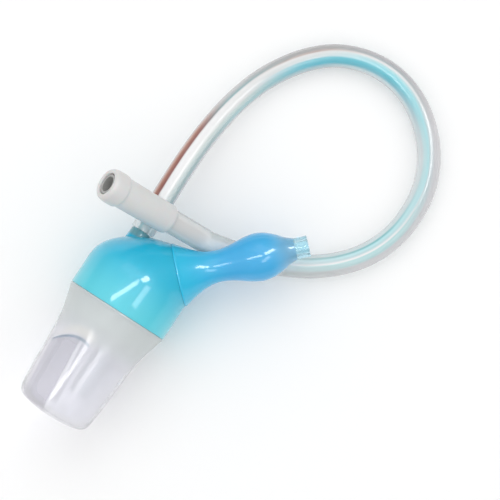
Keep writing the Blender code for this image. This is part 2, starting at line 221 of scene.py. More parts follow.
# Tints at some distances along the hose, in millimetres from its port
HOSE_TINTS = [
    (5.0, [*BELOW, (-0.15, (0.60, 0.68, 0.68), 0.55), (-0.08, CLEAR, 0.30),
           (-0.03, (0.40, 0.66, 0.70), 0.55), (0.02, CLEAR, 0.35), (0.09, CLEAR, 0.40),
           (0.14, (0.42, 0.56, 0.58), 0.60), *BELOW_AGAIN]),
    (9.0, RED_STREAK),
    (42.0, RED_STREAK),
    (64.0, [*BELOW, (-0.16, (0.50, 0.48, 0.49), 0.75), (-0.10, (0.40, 0.46, 0.48), 0.82),
            (-0.065, (0.26, 0.42, 0.44), 0.85), (-0.03, PAINTED_HIGHLIGHT, 0.45), (0.06, PAINTED_HIGHLIGHT, 0.45),
            (0.11, (0.56, 0.80, 0.78), 0.45), (0.16, (0.32, 0.56, 0.60), 0.78), *BELOW_AGAIN]),
    (101.0, [*BELOW, (-0.09, (0.38, 0.37, 0.37), 0.92), (-0.045, (0.48, 0.38, 0.35), 0.80),
             (-0.025, PAINTED_HIGHLIGHT, 0.45), (0.02, (0.80, 0.94, 0.96), 0.45), (0.06, (0.06, 0.58, 0.72), 0.70),
             (0.12, (0.06, 0.52, 0.66), 0.85), (0.18, (0.34, 0.56, 0.62), 0.75), *BELOW_AGAIN]),
    (129.0, [*BELOW, (-0.12, (0.42, 0.41, 0.43), 0.90), (-0.07, (0.38, 0.43, 0.45), 0.85),
             (-0.04, PAINTED_HIGHLIGHT, 0.50), (-0.015, (0.44, 0.86, 0.92), 0.60), (0.02, (0.22, 0.76, 0.88), 0.70),
             (0.08, (0.06, 0.52, 0.64), 0.85), (0.12, (0.10, 0.50, 0.62), 0.80),
             (0.18, (0.60, 0.80, 0.84), 0.60), *BELOW_AGAIN]),
    (170.0, [*BELOW, (-0.08, (0.62, 0.61, 0.64), 0.75), (-0.02, (0.50, 0.60, 0.64), 0.65),
             (0.02, (0.40, 0.84, 0.90), 0.60), (0.06, (0.50, 0.88, 0.93), 0.55),
             (0.12, (0.66, 0.75, 0.78), 0.55), *BELOW_AGAIN]),
    (211.0, [*BELOW, (-0.11, (0.62, 0.62, 0.65), 0.72), (-0.065, (0.42, 0.74, 0.76), 0.62),
             (-0.02, (0.42, 0.78, 0.80), 0.60), (0.0, (0.96, 0.97, 0.97), 0.60),
             (0.03, (0.50, 0.82, 0.88), 0.55), (0.06, (0.44, 0.90, 0.95), 0.60),
             (0.09, (0.14, 0.48, 0.52), 0.80), (0.12, (0.56, 0.72, 0.75), 0.65), *BELOW_AGAIN]),
    (272.0, [*BELOW, (-0.13, (0.46, 0.53, 0.50), 0.75), (-0.06, (0.88, 0.90, 0.88), 0.60),
             (0.04, (0.90, 0.91, 0.90), 0.60), (0.09, (0.60, 0.63, 0.61), 0.70),
             (0.16, (0.42, 0.46, 0.45), 0.78), *BELOW_AGAIN]),
]
# Tints over the stem: a painted view of the stem through the tube, as wide as the tube, with painted
# dark and greenish edges
OVER_STEM = [*BELOW, (-0.16, (0.52, 0.56, 0.52), 0.75), (-0.10, (0.74, 0.73, 0.72), 0.80),
             (0.07, (0.78, 0.77, 0.76), 0.80), (0.14, (0.64, 0.65, 0.64), 0.80),
             (0.19, (0.28, 0.29, 0.30), 0.88), *BELOW_AGAIN]


class Place:
    """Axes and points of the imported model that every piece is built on, in metres.

    rim is the centre of the cup's rim and floor_rim is the floor below it, port is on the hose
    port's axis at the rim's level, and mouth is the middle of the mouthpiece's front."""

    def __init__(self):
        joints = {joint["name"]: joint for joint in frame["joints"]}
        cup_middle = self.middle("collection_cup")
        cap_low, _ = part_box("cap_shell")
        self.rim = Vector((cup_middle.x, cap_low.y - GAP * MM, cup_middle.z))
        self.floor_rim = Vector((self.rim.x, self.rim.y, 0.0))
        self.nozzle_axis = Vector(joints["nozzle_turn"]["axis"])
        self.seat = Vector(joints["nozzle_turn"]["pos_m"])
        port_middle = self.middle("hose_port_end")
        self.port = Vector((port_middle.x, self.rim.y, port_middle.z))
        self.mouth_axis = Vector(joints["mouthpiece_pull_off"]["axis"]).normalized()
        self.mouth = self.middle("mouthpiece_stem") + self.mouth_axis * STEM_MIDDLE * MM

    def middle(self, node):
        """The middle of a node's box."""
        low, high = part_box(node)
        return (low + high) / 2.0


def smooth_through(points, parts):
    """Points on a centripetal Catmull-Rom curve through a list of points."""
    knots = [Vector(point) for point in points]
    knots.insert(0, 2.0 * knots[0] - knots[1])
    knots.append(2.0 * knots[-1] - knots[-2])
    result = []
    for before, start, end, after in zip(knots, knots[1:], knots[2:], knots[3:]):
        t0 = (start - before).length ** 0.5
        t1 = t0 + (end - start).length ** 0.5
        t2 = t1 + (after - end).length ** 0.5
        for part in range(parts):
            t = t0 + (t1 - t0) * part / parts
            a = before.lerp(start, t / t0)
            b = start.lerp(end, (t - t0) / (t1 - t0))
            c = end.lerp(after, (t - t1) / (t2 - t1))
            d = a.lerp(b, t / t1)
            e = b.lerp(c, (t - t0) / (t2 - t0))
            result.append(d.lerp(e, (t - t0) / (t1 - t0)))
    result.append(knots[-2])
    return result


def corner(before, at, after, radius, parts=4):
    """A corner of an outline, rounded by a curve that starts and ends a radius from it."""
    before, at, after = Vector(before), Vector(at), Vector(after)
    start = at + (before - at).normalized() * radius
    end = at + (after - at).normalized() * radius
    steps = [index / parts for index in range(parts + 1)]
    return [tuple(start.lerp(at, t).lerp(at.lerp(end, t), t)) for t in steps]


def rounded(points, radius):
    """A closed outline with every corner rounded by the same radius."""
    result = []
    count = len(points)
    for index, point in enumerate(points):
        result += corner(points[index - 1], point, points[(index + 1) % count], radius)
    return result


def circle(centre, first, second, radius, steps):
    """Points of a circle, from its first direction towards its second."""
    turn = 2.0 * math.pi / steps
    return [centre + (first * math.cos(turn * step) + second * math.sin(turn * step)) * radius
            for step in range(steps)]


def smooth_shade(mesh):
    """Shades a mesh smooth, with its true edges left sharp."""
    mesh.shade_smooth()
    mesh.set_sharp_from_angle(angle=math.radians(35.0))


def mesh_object(name, body, material):
    """An object of a finished bmesh body, with its faces pointing out."""
    bmesh.ops.recalc_face_normals(body, faces=body.faces)
    mesh = bpy.data.meshes.new(name)
    body.to_mesh(mesh)
    body.free()
    smooth_shade(mesh)
    mesh.materials.append(material)
    obj = bpy.data.objects.new(name, mesh)
    bpy.context.scene.collection.objects.link(obj)
    return obj


def skinned(name, rows, material):
    """A skin through rows of points and back to the first; a row of one point is a pole."""
    body = bmesh.new()
    made = [[body.verts.new(point) for point in row] for row in rows]
    for row, following in zip(made, made[1:] + made[:1]):
        count = max(len(row), len(following))
        if count == 1:
            continue
        for step in range(count):
            after = (step + 1) % count
            if len(row) == 1:
                body.faces.new((row[0], following[after], following[step]))
            elif len(following) == 1:
                body.faces.new((row[step], row[after], following[0]))
            else:
                body.faces.new((row[step], row[after], following[after], following[step]))
    return mesh_object(name, body, material)


def turned(name, outline, origin, axis, material, steps=STEPS):
    """A closed outline of (radius, height) in millimetres turned about an axis."""
    axis = Vector(axis).normalized()
    side = axis.orthogonal().normalized()
    other = axis.cross(side)
    rows = []
    for radius, height in outline:
        centre = origin + axis * height * MM
        rows.append(circle(centre, side, other, radius * MM, steps) if radius > 0.0 else [centre])
    return skinned(name, rows, material)


# ---------------------------------------------------------------- materials


class Look:
    """The node tree of a material or of the world; each method adds the nodes that its name says."""

    def __init__(self, owner):
        owner.use_nodes = True
        self.owner = owner
        self.nodes = owner.node_tree.nodes
        self.links = owner.node_tree.links

    def put(self, value, socket):
        """Gives a socket another node's output, a number, a vector or a colour without its alpha."""
        if isinstance(value, bpy.types.NodeSocket):
            self.links.new(value, socket)
        elif socket.type == "RGBA":
            socket.default_value = (*value, 1.0)
        else:
            socket.default_value = value

    def fill(self, node, **values):
        """Sets a node's inputs, named as in Blender with _ for a space, and returns the node."""
        for name, value in values.items():
            self.put(value, node.inputs[name.replace("_", " ")])
        return node

    def principled(self, **values):
        self.fill(self.nodes["Principled BSDF"], **values)

    def math(self, operation, *values):
        node = self.nodes.new("ShaderNodeMath")
        node.operation = operation
        for value, socket in zip(values, node.inputs):
            self.put(value, socket)
        return node.outputs["Value"]

    def vector_math(self, operation, *values, output="Vector"):
        node = self.nodes.new("ShaderNodeVectorMath")
        node.operation = operation
        for value, socket in zip(values, node.inputs):
            self.put(value, socket)
        return node.outputs[output]

    def product(self, first, *others):
        result = first
        for other in others:
            result = self.math("MULTIPLY", result, other)
        return result

    def here(self):
        """The shaded point in the object's own space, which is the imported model's."""
        return self.nodes.new("ShaderNodeTexCoord").outputs["Object"]

    def along(self, origin, axis):
        """Distance in metres from a point along an axis."""
        shift = self.vector_math("SUBTRACT", self.here(), origin)
        return self.vector_math("DOT_PRODUCT", shift, Vector(axis).normalized(), output="Value")

    def off_line(self, origin):
        """Distance in metres from the line along +Y through a point."""
        shift = self.vector_math("SUBTRACT", self.here(), origin)
        flat = self.vector_math("MULTIPLY", shift, (1.0, 0.0, 1.0))
        return self.vector_math("LENGTH", flat, output="Value")

    def noise(self, scale, detail=3.0):
        """Noise from 0 to 1 in the object's own space."""
        node = self.nodes.new("ShaderNodeTexNoise")
        return self.fill(node, Vector=self.here(), Scale=scale, Detail=detail).outputs["Fac"]

    def remap(self, value, low, high, to_low, to_high):
        """A smooth step from one value to another while an input goes from low to high."""
        node = self.nodes.new("ShaderNodeMapRange")
        node.interpolation_type = "SMOOTHSTEP"
        self.fill(node, Value=value, From_Min=low, From_Max=high, To_Min=to_low, To_Max=to_high)
        return node.outputs["Result"]

    def band(self, value, low, high, soft):
        """1 where a value is between two others and 0 elsewhere."""
        rise = self.remap(value, low - soft, low + soft, 0.0, 1.0)
        fall = self.remap(value, high - soft, high + soft, 1.0, 0.0)
        return self.product(rise, fall)

    def mixed_value(self, factor, first, second):
        node = self.nodes.new("ShaderNodeMix")
        return self.fill(node, Factor=factor, A=first, B=second).outputs["Result"]

    def mixed_colour(self, factor, first, second):
        node = self.nodes.new("ShaderNodeMix")
        node.data_type = "RGBA"
        return self.fill(node, Factor=factor, A=first, B=second).outputs["Result"]

    def relief(self, scale, strength, detail=3.0):
        """A fine relief of the surface."""
        node = self.nodes.new("ShaderNodeBump")
        self.fill(node, Height=self.noise(scale, detail), Strength=strength, Distance=RELIEF_DEPTH)
        self.principled(Normal=node.outputs["Normal"])

    def absorb(self, colour, density):
        """Tints what is seen through the piece by how thick it is."""
        volume = self.fill(self.nodes.new("ShaderNodeVolumeAbsorption"), Color=colour, Density=density)
        self.links.new(volume.outputs["Volume"], self.nodes["Material Output"].inputs["Volume"])

    def shadow_ray(self):
        return self.nodes.new("ShaderNodeLightPath").outputs["Is Shadow Ray"]

    def mix_surface(self, factor, first, second):
        """Makes the surface a mix of two shaders."""
        mix = self.nodes.new("ShaderNodeMixShader")
        for value, socket in zip((factor, first, second), mix.inputs):
            self.links.new(value, socket)
        self.links.new(mix.outputs["Shader"], self.nodes["Material Output"].inputs["Surface"])

    def let_light_through(self, colour, share=0.85):
        """Lamps shine through the piece, tinted, so that what is behind it stays lit."""
        surface = self.nodes["Principled BSDF"].outputs["BSDF"]
        clear = self.fill(self.nodes.new("ShaderNodeBsdfTransparent"), Color=colour)
        self.mix_surface(self.product(self.shadow_ray(), share), surface, clear.outputs["BSDF"])

    def see_through(self, opacity):
        """Mixes the surface with a clear one by its opacity; its shadow is fainter still."""
        surface = self.nodes["Principled BSDF"].outputs["BSDF"]
        clear = self.nodes.new("ShaderNodeBsdfTransparent")
        seen = self.remap(self.shadow_ray(), 0.0, 1.0, 1.0, SHADOW_SHARE)
        self.mix_surface(self.product(opacity, seen), clear.outputs["BSDF"], surface)


def new_look(name):
    return Look(bpy.data.materials.new(name))


def teal_plastic(place):
    """Translucent polypropylene; its paler colour towards the skirt is painted, for the cup's neck that
    shows through there.

    The hose port is greyer, and its barb is pale."""
    look = new_look("teal_plastic")
    height = look.along(place.rim, (0.0, 1.0, 0.0))
    # painted: paler towards the skirt, for the cup's neck seen through the plastic
    paler = look.remap(height, 0.0, 0.024, 1.0, 0.0)
    colour = look.mixed_colour(paler, (0.001, 0.58, 0.84), (0.14, 0.80, 0.92))
    veil = look.remap(look.noise(60.0), 0.35, 0.75, 0.0, 0.10)
    colour = look.mixed_colour(veil, colour, (0.08, 0.70, 0.84))
    near_port = look.remap(look.off_line(place.port), 0.0046, 0.0049, 1.0, 0.0)
    port = look.product(near_port, look.remap(height, 0.0262, 0.0275, 0.0, 0.85))
    colour = look.mixed_colour(port, colour, (0.20, 0.44, 0.47))
    barb = look.product(near_port, look.remap(height, 0.0297, 0.0300, 0.0, 1.0))
    colour = look.mixed_colour(barb, colour, (0.58, 0.74, 0.78))
    look.principled(Base_Color=colour, Roughness=0.35, Transmission_Weight=0.25, IOR=1.49,
                    Specular_IOR_Level=0.15, Coat_Weight=0.75, Coat_Roughness=0.06, Coat_IOR=1.5)
    look.relief(900.0, 0.04)
    look.let_light_through((0.35, 0.80, 0.92), 0.5)
    return look.owner


def arched(look, depth, across):
    """Depth below an arch over the cup's left half: the depth less a share of the way out, squared."""
    out = look.math("ADD", across, 0.0029)
    return look.math("MULTIPLY_ADD", look.product(out, out), -57.0, depth)


def cup_painted_light(look, place, depth):
    """Painted light on the cup's upper side, each as its share and its colour.

    They are a painted glow over an arch, a painted reflection of a darker panel below it with its dark
    edge along the arch, and a painted highlight stripe down the panel's right side with painted shade
    beside it."""
    across = look.along(place.rim, (1.0, 0.0, 0.0))
    leaning = look.along(place.rim, (1.0, 0.075, 0.0))
    upper = look.remap(look.along(place.rim, (0.0, 0.0, 1.0)), 0.003, 0.006, 0.0, 1.0)
    below_arch = arched(look, depth, across)
    glow = look.product(upper, look.band(below_arch, 0.0115, 0.0150, 0.0015),
                        look.band(across, -0.012, 0.001, 0.003), 0.6)
    patch = look.product(upper, look.band(leaning, -0.0145, -0.0044, 0.0005),
                         look.remap(below_arch, 0.0152, 0.0158, 0.0, 1.0), 0.8)
    edge = look.product(upper, look.band(across, -0.0130, 0.0006, 0.0006),
                        look.band(below_arch, 0.0153, 0.0164, 0.0004), 0.7)
    shade = look.product(upper, look.band(leaning, -0.0034, -0.0010, 0.0004),
                         look.band(depth, 0.0165, 0.0400, 0.0020), 0.5)
    stripe = look.product(upper, look.band(leaning, -0.0044, -0.0034, 0.0003),
                          look.band(depth, 0.0170, 0.0430, 0.0010), 0.9)
    return [(glow, (0.98, 0.95, 0.90)), (patch, (0.70, 0.69, 0.73)), (edge, (0.38, 0.47, 0.56)),
            (shade, (0.66, 0.66, 0.69)), (stripe, (0.98, 0.98, 0.99))]


def milky_plastic(place):
    """Milky polypropylene: hazier near the lip, clearer down the cup, with painted light on its upper
    side.
    """
    look = new_look("milky_plastic")
    depth = look.along(place.rim, (0.0, -1.0, 0.0))

    def down_the_cup(at_lip, at_bottom):
        return look.remap(depth, 0.006, 0.019, at_lip, at_bottom)

    colour = look.mixed_colour(down_the_cup(0.0, 1.0), (0.78, 0.82, 0.82), (0.92, 0.92, 0.95))
    # painted glow, reflection, highlight and shade on the cup's upper side
    for share, painted_colour in cup_painted_light(look, place, depth):
        colour = look.mixed_colour(share, colour, painted_colour)
    look.principled(Base_Color=colour, Roughness=down_the_cup(0.265, 0.08),
                    Transmission_Weight=down_the_cup(0.35, 0.72), IOR=1.45, Specular_IOR_Level=0.09,
                    Coat_Weight=0.08, Coat_Roughness=0.12)
    look.relief(500.0, 0.05)
    look.let_light_through((0.93, 0.93, 0.95))
    look.absorb((0.55, 0.55, 0.62), 15.0)
    return look.owner


def pipe_plastic():
    look = new_look("pipe_plastic")
    colour = look.mixed_colour(look.noise(90.0), (0.60, 0.63, 0.67), (0.68, 0.71, 0.75))
    look.principled(Base_Color=colour, Roughness=0.3, Transmission_Weight=0.15, IOR=1.45)
    look.let_light_through((0.85, 0.87, 0.88), 0.7)
    return look.owner


def blue_silicone(place):
    """Soft blue silicone that thins out into clear towards the tip."""
    look = new_look("blue_silicone")
    distance = look.along(place.seat, place.nozzle_axis)
    bluer = look.remap(distance, 0.0, 0.022, 0.0, 1.0)
    colour = look.mixed_colour(bluer, (0.015, 0.61, 0.90), (0.05, 0.49, 0.87))
    fade = look.remap(distance, 0.034, 0.047, 0.0, 1.0)
    colour = look.mixed_colour(fade, colour, (0.36, 0.70, 0.86))
    through = look.remap(distance, 0.036, 0.047, 0.18, 0.70)
    look.principled(Base_Color=colour, Transmission_Weight=through, Roughness=0.38, IOR=1.41,
                    Specular_IOR_Level=0.2, Coat_Weight=0.8, Coat_Roughness=0.12)
    look.relief(700.0, 0.05)
    look.let_light_through((0.40, 0.72, 0.95), 0.5)
    return look.owner


def clear_silicone():
    look = new_look("clear_silicone")
    colour = look.mixed_colour(look.noise(120.0), (0.62, 0.84, 0.90), (0.72, 0.89, 0.93))
    look.principled(Base_Color=colour, Roughness=0.12, Transmission_Weight=0.85, IOR=1.41)
    look.let_light_through((0.70, 0.88, 0.95))
    look.absorb((0.40, 0.72, 0.84), 70.0)
    return look.owner


def grey_elastomer():
    look = new_look("grey_elastomer")
    colour = look.mixed_colour(look.noise(120.0), (0.66, 0.66, 0.655), (0.71, 0.71, 0.705))
    look.principled(Base_Color=colour, Roughness=0.45, Subsurface_Weight=0.15, Subsurface_Scale=0.002)
    look.relief(1200.0, 0.12, 2.0)
    return look.owner


def grey_plastic(name, darker, lighter):
    look = new_look(name)
    colour = look.mixed_colour(look.noise(100.0), darker, lighter)
    look.principled(Base_Color=colour, Roughness=0.35)
    return look.owner


def hose_map(look):
    """Turn about the hose from its upper side, from -0.5 to 0.5, and share of its length."""
    route = look.nodes.new("ShaderNodeUVMap")
    route.uv_map = ROUTE_MAP
    split = look.fill(look.nodes.new("ShaderNodeSeparateXYZ"), Vector=route.outputs["UV"])
    return look.math("WRAP", split.outputs["X"], 0.5, -0.5), split.outputs["Y"]


def tints(look, around, stops):
    """Colour and opacity round the hose; the stops are (turn, colour, opacity)."""
    ramp = look.nodes.new("ShaderNodeValToRGB")
    ramp.color_ramp.interpolation = "EASE"
    elements = ramp.color_ramp.elements
    while len(elements) > 1:
        elements.remove(elements[-1])
    for index, (turn, colour, opacity) in enumerate(stops):
        element = elements[0] if index == 0 else elements.new(turn + 0.5)
        element.position = turn + 0.5
        element.color = (*colour, opacity)
    look.fill(ramp, Fac=look.math("ADD", around, 0.5))
    return ramp.outputs["Color"], ramp.outputs["Alpha"]


def clear_hose(length):
    """Clear soft tube with pale blue and reddish streaks along its upper side, painted shade towards its
    sides and painted highlight bands; its length in millimetres.
    """
    look = new_look("clear_hose")
    around, share = hose_map(look)
    stem_at = length - (STEM_END - HOSE_END_DEPTH)
    changes = [(start, end, stops) for (start, _), (end, stops) in zip(HOSE_TINTS, HOSE_TINTS[1:])]
    # over the stem the tube gets a painted view of the stem seen through it
    changes.append((stem_at - 2.0, stem_at, OVER_STEM))
    colour, opacity = tints(look, around, HOSE_TINTS[0][1])
    for start, end, stops in changes:
        tint, cover = tints(look, around, stops)
        step = look.remap(share, start / length, end / length, 0.0, 1.0)
        colour = look.mixed_colour(step, colour, tint)
        opacity = look.mixed_value(step, opacity, cover)
    veil = look.remap(look.noise(45.0), 0.3, 0.8, 0.0, 0.08)
    colour = look.mixed_colour(veil, colour, (0.80, 0.82, 0.82))
    look.principled(Base_Color=colour, Roughness=0.2, IOR=1.45, Specular_IOR_Level=0.2,
                    Coat_Weight=0.6, Coat_Roughness=0.16)
    look.see_through(opacity)
    return look.owner


def hose_bore():
    """The inner skin of the clear tube: seen only where it is looked along."""
    look = new_look("hose_bore")
    colour = look.mixed_colour(look.noise(45.0), (0.50, 0.56, 0.57), (0.60, 0.64, 0.65))
    look.principled(Base_Color=colour, Roughness=0.5, IOR=1.3, Specular_IOR_Level=0.0)
    weight = look.fill(look.nodes.new("ShaderNodeLayerWeight"), Blend=0.5)
    look.see_through(look.remap(weight.outputs["Facing"], 0.55, 0.95, 0.01, 0.25))
    return look.owner


# ---------------------------------------------------------------- pieces


def mirror_ring(place, left, right):
    """A circle standing on the mirror plane, on the diameter between two points of it."""
    left = Vector((left[0], left[1], 0.0))
    right = Vector((right[0], right[1], 0.0))
    centre = place.rim + (left + right) / 2.0 * MM
    half = (right - left) / 2.0
    return circle(centre, half.normalized(), Vector((0.0, 0.0, 1.0)), half.length * MM, STEPS)


def seat_point(along, across):
    """A point of the mirror plane, from the seat's centre along the nozzle's axis and across it."""
    axis = Vector((math.sin(SEAT_TILT), math.cos(SEAT_TILT)))
    side = Vector((math.cos(SEAT_TILT), -math.sin(SEAT_TILT)))
    return Vector(SEAT_CENTRE) + axis * along + side * across


def dome_lines():
    """The dome's outside and inside from skirt to seat, as pairs of a left and a right point."""
    left_line = smooth_through([*DOME_SIDE, seat_point(0.0, -SEAT_RADIUS)], SMOOTH_PARTS)
    right_start = Vector((CAP_RADIUS, SKIRT_HEIGHT))
    right_end = seat_point(0.0, SEAT_RADIUS)
    last = len(left_line) - 1
    outside = []
    inside = []
    for index, left in enumerate(left_line):
        right = right_start.lerp(right_end, index / last)
        along = (left_line[min(index + 1, last)] - left_line[max(index - 1, 0)]).normalized()
        outside.append((left, right))
        inside.append((left + Vector((along.y, -along.x)) * DOME_WALL, right - Vector((DOME_WALL, 0.0))))
    return outside, inside


def cap_rows(place):
    """Rings up the cap's outside, down the spigot's bore and down the inside to the skirt."""
    def straight(height, radius):
        return mirror_ring(place, (-radius, height), (radius, height))

    def seat(along, radius):
        return mirror_ring(place, seat_point(along, -radius), seat_point(along, radius))

    outside, inside = dome_lines()
    inside_end = seat_point(-SEAT_WALL, -SEAT_RADIUS + DOME_WALL).x - 1.0
    rows = [straight(SEAM, CAP_RADIUS - EDGE), straight(SEAM + 0.1, CAP_RADIUS - 0.12),
            straight(SEAM + EDGE, CAP_RADIUS)]
    rows += [mirror_ring(place, *pair) for pair in outside]
    rows += [seat(0.0, SPIGOT_RADIUS), seat(SPIGOT_LENGTH - 0.4, SPIGOT_RADIUS),
             seat(SPIGOT_LENGTH, SPIGOT_RADIUS - 0.4), seat(SPIGOT_LENGTH, SPIGOT_BORE_RADIUS),
             seat(-SEAT_WALL, SPIGOT_BORE_RADIUS), seat(-SEAT_WALL, SEAT_RADIUS - DOME_WALL)]
    rows += [mirror_ring(place, *pair) for pair in reversed(inside) if pair[0].x < inside_end]
    rows += [straight(LEDGE_HEIGHT, CAP_RADIUS - DOME_WALL), straight(LEDGE_HEIGHT, SKIRT_INNER_RADIUS),
             straight(SEAM, SKIRT_INNER_RADIUS)]
    return rows


def make_port(place, material):
    """The hose port with its barb, and the bore that is cut through it."""
    boss = [(0.0, BARB_END), (BARB_RADIUS - 0.2, BARB_END), (BARB_RIDGE_RADIUS, BARB_END - 1.4),
            (BARB_RADIUS, BARB_END - 1.5), (BARB_RADIUS, PORT_FACE), (PORT_RADIUS - EDGE, PORT_FACE),
            (PORT_RADIUS - 0.1, PORT_FACE - 0.1), (PORT_RADIUS, PORT_FACE - EDGE),
            (PORT_RADIUS + 0.5, PORT_BOSS_FOOT), (0.0, PORT_BOSS_FOOT)]
    bore = [(0.0, BARB_END + 1.0), (PORT_BORE_RADIUS, BARB_END + 1.0),
            (PORT_BORE_RADIUS, PORT_BOSS_FOOT - 1.0), (0.0, PORT_BOSS_FOOT - 1.0)]
    return [turned(name, outline, place.port, (0.0, 1.0, 0.0), material, THIN_STEPS)
            for name, outline in (("port_boss", boss), ("port_bore", bore))]


def make_cap(place, material):
    """The cap in one piece: skirt, dome, nozzle seat with its spigot, and hose port."""
    cap = skinned("cap", cap_rows(place), material)
    boss, bore = make_port(place, material)
    for tool, operation in ((boss, "UNION"), (bore, "DIFFERENCE")):
        boolean = cap.modifiers.new(operation.title(), "BOOLEAN")
        boolean.operation = operation
        boolean.object = tool
        boolean.solver = "EXACT"
    apply_modifiers(cap)
    bpy.data.objects.remove(boss)
    bpy.data.objects.remove(bore)
    return cap


def apply_modifiers(obj):
    """Gives an object the mesh that its modifiers make, and removes them."""
    evaluated = obj.evaluated_get(bpy.context.evaluated_depsgraph_get())
    mesh = bpy.data.meshes.new_from_object(evaluated)
    obj.modifiers.clear()
    obj.data = mesh
    smooth_shade(mesh)


def make_seal(place, material):
    """The gasket between the cup's neck and the cap's ledge."""
    low = NECK_HEIGHT + GAP
    high = LEDGE_HEIGHT - GAP
    outline = rounded([(NECK_INNER_RADIUS, high), (NECK_RADIUS + 0.05, high),
                       (NECK_RADIUS + 0.05, low), (NECK_INNER_RADIUS, low)], EDGE)
    return turned("cap_gasket", outline, place.rim, (0.0, 1.0, 0.0), material)


def cup_inside(side):
    """The cup's inner side for its outer one: a wall narrower, and a wall higher at the bottom.

    The side turns into the bottom at its fifth point from the end."""
    bottom_depth, bottom_radius = CUP_SIDE[-5]
    shrink = 1.0 - CUP_WALL / bottom_radius
    inside = []
    for depth, radius in side:
        if depth < CUP_INSIDE_START:
            continue
        bottom = min(1.0, max(0.0, 1.0 + (depth - bottom_depth) / CUP_BOTTOM_BLEND))
        inner_radius = (radius - CUP_WALL) * (1.0 - bottom) + radius * shrink * bottom
        inside.append((max(inner_radius, 0.0), -(depth - CUP_WALL * bottom)))
    return inside


def make_cup(place, material):
    """The cup: its neck inside the cap, its lip, side and bottom."""
    side = smooth_through(CUP_SIDE, SMOOTH_PARTS)
    outline = [(NECK_RADIUS - 0.3, NECK_HEIGHT), (NECK_RADIUS, NECK_HEIGHT - 0.3), (NECK_RADIUS, 0.0)]
    outline += [(radius, -depth) for depth, radius in CUP_LIP[:-1]]
    outline += [(radius, -depth) for depth, radius in side]
    outline += cup_inside(side)[::-1]
    outline += [(NECK_INNER_RADIUS, 0.0), (NECK_INNER_RADIUS, NECK_HEIGHT - 0.3),
                (NECK_INNER_RADIUS + 0.3, NECK_HEIGHT)]
    return turned("cup", outline, place.rim, (0.0, 1.0, 0.0), material, CUP_STEPS)


def frames_along(points):
    """Each point of a line with its upward and its right-hand direction, and its share of the length."""
    frames = []
    lengths = [0.0]
    for index, point in enumerate(points):
        before = points[max(index - 1, 0)]
        after = points[min(index + 1, len(points) - 1)]
        tangent = (after - before).normalized()
        upward = Vector((0.0, 0.0, 1.0))
        upward = (upward - tangent * upward.dot(tangent)).normalized()
        frames.append((point, upward, tangent.cross(upward)))
        if index:
            lengths.append(lengths[-1] + (point - before).length)
    return frames, [length / lengths[-1] for length in lengths]


def swept(name, points, outer, inner, material, steps):
    """A hollow tube along a line: outer and inner radii in millimetres for each point.

    Its map holds the turn about the line, 0 on its upper side and 0.25 on its right, and the
    share of the line's length."""
    frames, shares = frames_along(points)
    indices = list(range(len(points)))
    rings = [*zip(indices, outer), *reversed(list(zip(indices, inner)))]
    body = bmesh.new()
    rows = [[body.verts.new(point) for point in circle(*frames[index], radius * MM, steps)]
            for index, radius in rings]
    layer = body.loops.layers.uv.new(ROUTE_MAP)
    for row in range(len(rows)):
        following = (row + 1) % len(rows)
        for step in range(steps):
            after = (step + 1) % steps
            face = body.faces.new((rows[row][step], rows[row][after], rows[following][after],
                                   rows[following][step]))
            corners = ((step, row), (step + 1, row), (step + 1, following), (step, following))
            for loop, (around, ring) in zip(face.loops, corners):
                loop[layer].uv = (around / steps, shares[rings[ring][0]])
    return mesh_object(name, body, material)


def make_pipe(place, material):
    """The pipe from the spigot's bore into the cup: a flare, a bend and a straight leg."""
    top = SPIGOT_LENGTH - 1.0
    bend_at = (PIPE_X - SEAT_CENTRE[0]) / math.sin(SEAT_TILT)
    bend_corner = seat_point(bend_at, 0.0)
    bend_start = seat_point(bend_at + PIPE_BEND_TANGENT, 0.0)
    bend_end = bend_corner - Vector((0.0, PIPE_BEND_TANGENT))
    flare = [step / PIPE_FLARE_STEPS for step in range(PIPE_FLARE_STEPS + 1)]
    line = [seat_point(top - PIPE_FLARE_LENGTH * share, 0.0) for share in flare]
    line += [Vector(point) for point in corner(bend_start, bend_corner, bend_end, PIPE_BEND_TANGENT, 12)]
    line += [bend_end.lerp(Vector((PIPE_X, PIPE_END)), step / 10) for step in range(1, 11)]
    points = [place.rim + Vector((point.x, point.y, 0.0)) * MM for point in line]
    mouth = PIPE_FLARE_MOUTH / PIPE_FLARE_STEPS
    outer = [PIPE_RADIUS + (PIPE_FLARE_RADIUS - PIPE_RADIUS)
             * (1.0 - max(0.0, share - mouth) / (1.0 - mouth)) ** 1.5 for share in flare]
    outer += [PIPE_RADIUS] * (len(line) - len(flare))
    inner = [radius - PIPE_WALL for radius in outer]
    return swept("pipe", points, outer, inner, material, PIPE_STEPS)


def make_nozzle(place, material):
    """The nozzle: its bulb, its socket over the spigot and its bore."""
    socket = SPIGOT_RADIUS + GAP
    side = smooth_through(NOZZLE_SIDE, SMOOTH_PARTS)
    outline = [(point.y, point.x) for point in reversed(side)]
    outline += [(12.1, 0.35), (12.08, SEAM + 0.12), (11.95, SEAM)]
    outline += [(socket, SEAM), (socket, SPIGOT_LENGTH + GAP), (NOZZLE_BORE_RADIUS, SPIGOT_LENGTH + 7.0),
                (NOZZLE_BORE_RADIUS, TIP_STEM_END - GAP), (TIP_STEM_RADIUS + 0.3, TIP_STEM_END - GAP),
                (TIP_STEM_RADIUS + 0.3, NOZZLE_END)]
    return turned("nozzle_body", outline, place.seat, place.nozzle_axis, material)


